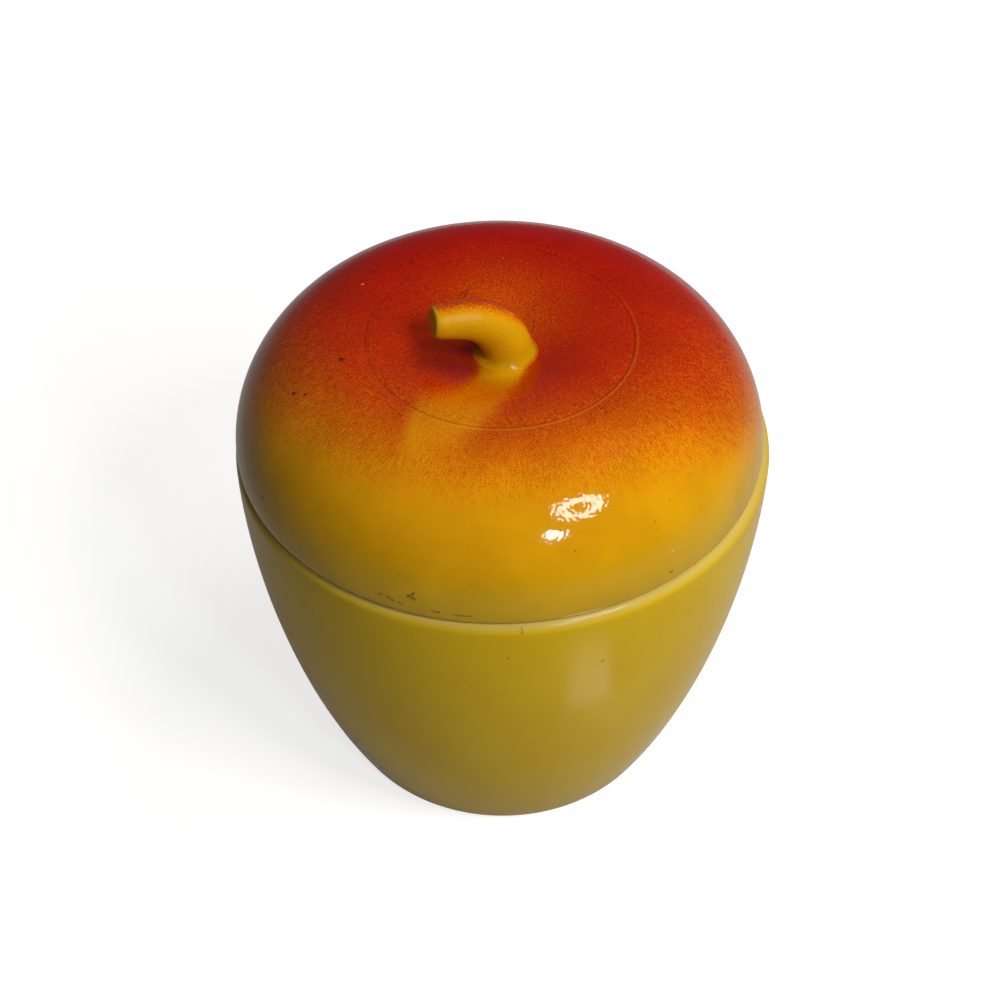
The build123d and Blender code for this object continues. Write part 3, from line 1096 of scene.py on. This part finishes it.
stalk = make_piece(
    "stalk_knob",
    bent_stalk_tree(),
    stalk_outline(),
    {
        "Segments": stalk_segments,
        "Root": stalk_root,
        "Rise": stalk_rise,
        "Bend radius": stalk_bend_radius,
        "Turn": stalk_turn,
        "Unevenness": stalk_unevenness,
        "Swell size": stalk_swell_size,
        "True margin": stalk_flare_height,
        "Material": stalk_glaze(),
    },
)
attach(stalk, "lid")
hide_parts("stalk")

# Floor: a plain white sheet, larger than any view of it.
# It takes the pot's shadow, and shows white to the viewer and in the glaze.
floor_reach = 12.0
floor_colour = (0.48, 0.48, 0.48, 1)
floor_lift = 0.75
glossy_floor = 0.12
far_floor_lift = 1.0
lit_reach = (0.12, 0.6)
corners = [(-floor_reach, -floor_reach, 0), (floor_reach, -floor_reach, 0)]
corners += [(floor_reach, floor_reach, 0), (-floor_reach, floor_reach, 0)]


def shown_white(tree, in_glaze):
    """How far a surround shows white: fully to the viewer, and by a share in the glaze."""
    seen = tree.nodes.new("ShaderNodeLightPath").outputs
    mirrored = times(tree, seen["Is Glossy Ray"], in_glaze)
    shown = math_of(tree, "MAXIMUM", seen["Is Camera Ray"], mirrored)
    return math_of(tree, "MAXIMUM", shown, seen["Is Transmission Ray"])


floor_mesh = bpy.data.meshes.new("floor")
floor_mesh.from_pydata(corners, [], [(0, 1, 2, 3)])
floor = bpy.data.objects.new("floor", floor_mesh)
scene.collection.objects.link(floor)
floor_paper = bpy.data.materials.new("floor_paper")
floor_paper.use_nodes = True
paper_tree = floor_paper.node_tree
paper = paper_tree.nodes["Principled BSDF"].inputs
paper["Base Color"].default_value = floor_colour
paper["Roughness"].default_value = 0.9
paper["Specular IOR Level"].default_value = 0.0
paper["Emission Color"].default_value = (1, 1, 1, 1)
shown = shown_white(paper_tree, glossy_floor)
floor_place = paper_tree.nodes.new("ShaderNodeTexCoord").outputs["Object"]
from_pot = measure_of(paper_tree, "LENGTH", floor_place)
lift = ramp_of(paper_tree, from_pot, *lit_reach, floor_lift, far_floor_lift)
paper_tree.links.new(times(paper_tree, shown, lift), paper["Emission Strength"])
floor_mesh.materials.append(floor_paper)

# Viewpoint: a camera in front of the pot and above it, at the photograph's angle and framing.
# Places given as the viewer sees them are in millimetres right of, beyond and above the pot's foot.
view_azimuth = radians(-18.2)
view_elevation = radians(44.62)
view_distance = 357.27
view_height = 52.82
view_aside = -0.45
view_lens = 72
view_sensor = 36


def from_viewer(right, beyond, up):
    """A place as the viewer sees it, in the object's frame and in metres."""
    turned_right = right * cos(view_azimuth) - beyond * sin(view_azimuth)
    turned_beyond = right * sin(view_azimuth) + beyond * cos(view_azimuth)
    return Vector((turned_right, turned_beyond, up)) * mm


def aim(holder, place, target):
    """Puts a camera or lamp at a place, looking at a target."""
    holder.location = place
    holder.rotation_euler = (target - place).to_track_quat("-Z", "Y").to_euler()
    scene.collection.objects.link(holder)


camera = bpy.data.cameras.new("camera")
camera.sensor_width = view_sensor
camera.lens = view_lens
camera.clip_start = 0.01
camera_holder = bpy.data.objects.new("camera", camera)
aim(
    camera_holder,
    from_viewer(
        view_aside,
        -view_distance * cos(view_elevation),
        view_height + view_distance * sin(view_elevation),
    ),
    from_viewer(view_aside, 0, view_height),
)
scene.camera = camera_holder

# Lamps: a round studio lamp with a dark middle at the viewer's right, and a small cooler one lower down.
# Broad soft ones above, at the right, behind and at the left fill its shade, and no glaze mirrors them.
lamp_distance = 380.0
warm_light = (1.0, 0.97, 0.92)
plain_light = (1.0, 0.98, 0.95)
cool_light = (0.85, 0.92, 1.0)
key_dark_middle = 0.24


def add_lamp(name, seen_at, direction, width, power, colour, mirrored=True):
    """A round lamp in a direction from a place on the glaze, which shows it there if it is mirrored."""
    lamp = bpy.data.lights.new(name, "AREA")
    lamp.shape = "DISK"
    lamp.size = 2 * lamp_distance * tan(radians(width / 2)) * mm
    lamp.energy = power
    lamp.color = colour
    holder = bpy.data.objects.new(name, lamp)
    holder.visible_camera = False
    holder.visible_glossy = mirrored
    place = from_viewer(*(s + lamp_distance * d for s, d in zip(seen_at, direction)))
    aim(holder, place, from_viewer(*seen_at))
    return lamp


key = add_lamp("key_lamp", (11.9, -35.8, 86.5), (0.447, -0.462, 0.766), 19.0, 1.38, warm_light)
key.use_nodes = True
key_tree = key.node_tree
across_lamp = key_tree.nodes.new("ShaderNodeNewGeometry").outputs["Parametric"]
from_middle = measure_of(key_tree, "DISTANCE", across_lamp, (0.5, 0.5, 0.0))
ring = math_of(key_tree, "GREATER_THAN", from_middle, key_dark_middle)
key_tree.links.new(ring, key_tree.nodes["Emission"].inputs["Strength"])
add_lamp("small_lamp", (8.0, -39.4, 84.0), (0.343, -0.762, 0.55), 8.0, 0.34, cool_light)
add_lamp("soft_lamp", (0.0, 0.0, 88.0), (0.40, 0.16, 0.90), 30.0, 0.58, warm_light, False)
add_lamp("right_lamp", (30.0, 0.0, 50.0), (0.95, -0.15, 0.27), 50.0, 0.2, warm_light, False)
add_lamp("back_lamp", (0.0, 20.0, 60.0), (0.12, 0.99, 0.08), 40.0, 0.35, plain_light, False)
add_lamp("left_lamp", (-20.0, 10.0, 60.0), (-0.80, 0.55, 0.24), 50.0, 0.05, plain_light, False)

# Floor patch: a bright part of the floor in front of the pot, at the viewer's right.
# It lights nothing, and the satin glaze mirrors it.
patch_place = (39, -67, 1)
patch_width = 30 * mm
patch_length = 19 * mm
patch_turn = radians(59)
patch_power = 0.004
patch = bpy.data.lights.new("floor_patch", "AREA")
patch.shape = "RECTANGLE"
patch.size = patch_width
patch.size_y = patch_length
patch.energy = patch_power
patch_holder = bpy.data.objects.new("floor_patch", patch)
patch_holder.visible_camera = False
patch_holder.visible_diffuse = False
patch_holder.location = from_viewer(*patch_place)
patch_holder.rotation_euler = (pi, 0, view_azimuth - patch_turn)
scene.collection.objects.link(patch_holder)

# Studio: the pale room beyond the floor, white to the viewer and dim in the glaze.
# It lights the pot only faintly.
sky_light = 0.05
glossy_sky = 0.06
sky_colour = (0.97, 0.98, 1.0, 1)
world = bpy.data.worlds.new("studio")
world.use_nodes = True
sky = world.node_tree.nodes["Background"].inputs
sky["Color"].default_value = sky_colour
sky_shown = shown_white(world.node_tree, glossy_sky)
sky_level = times_plus(world.node_tree, sky_shown, 1.0 - sky_light, sky_light)
world.node_tree.links.new(sky_level, sky["Strength"])
scene.world = world
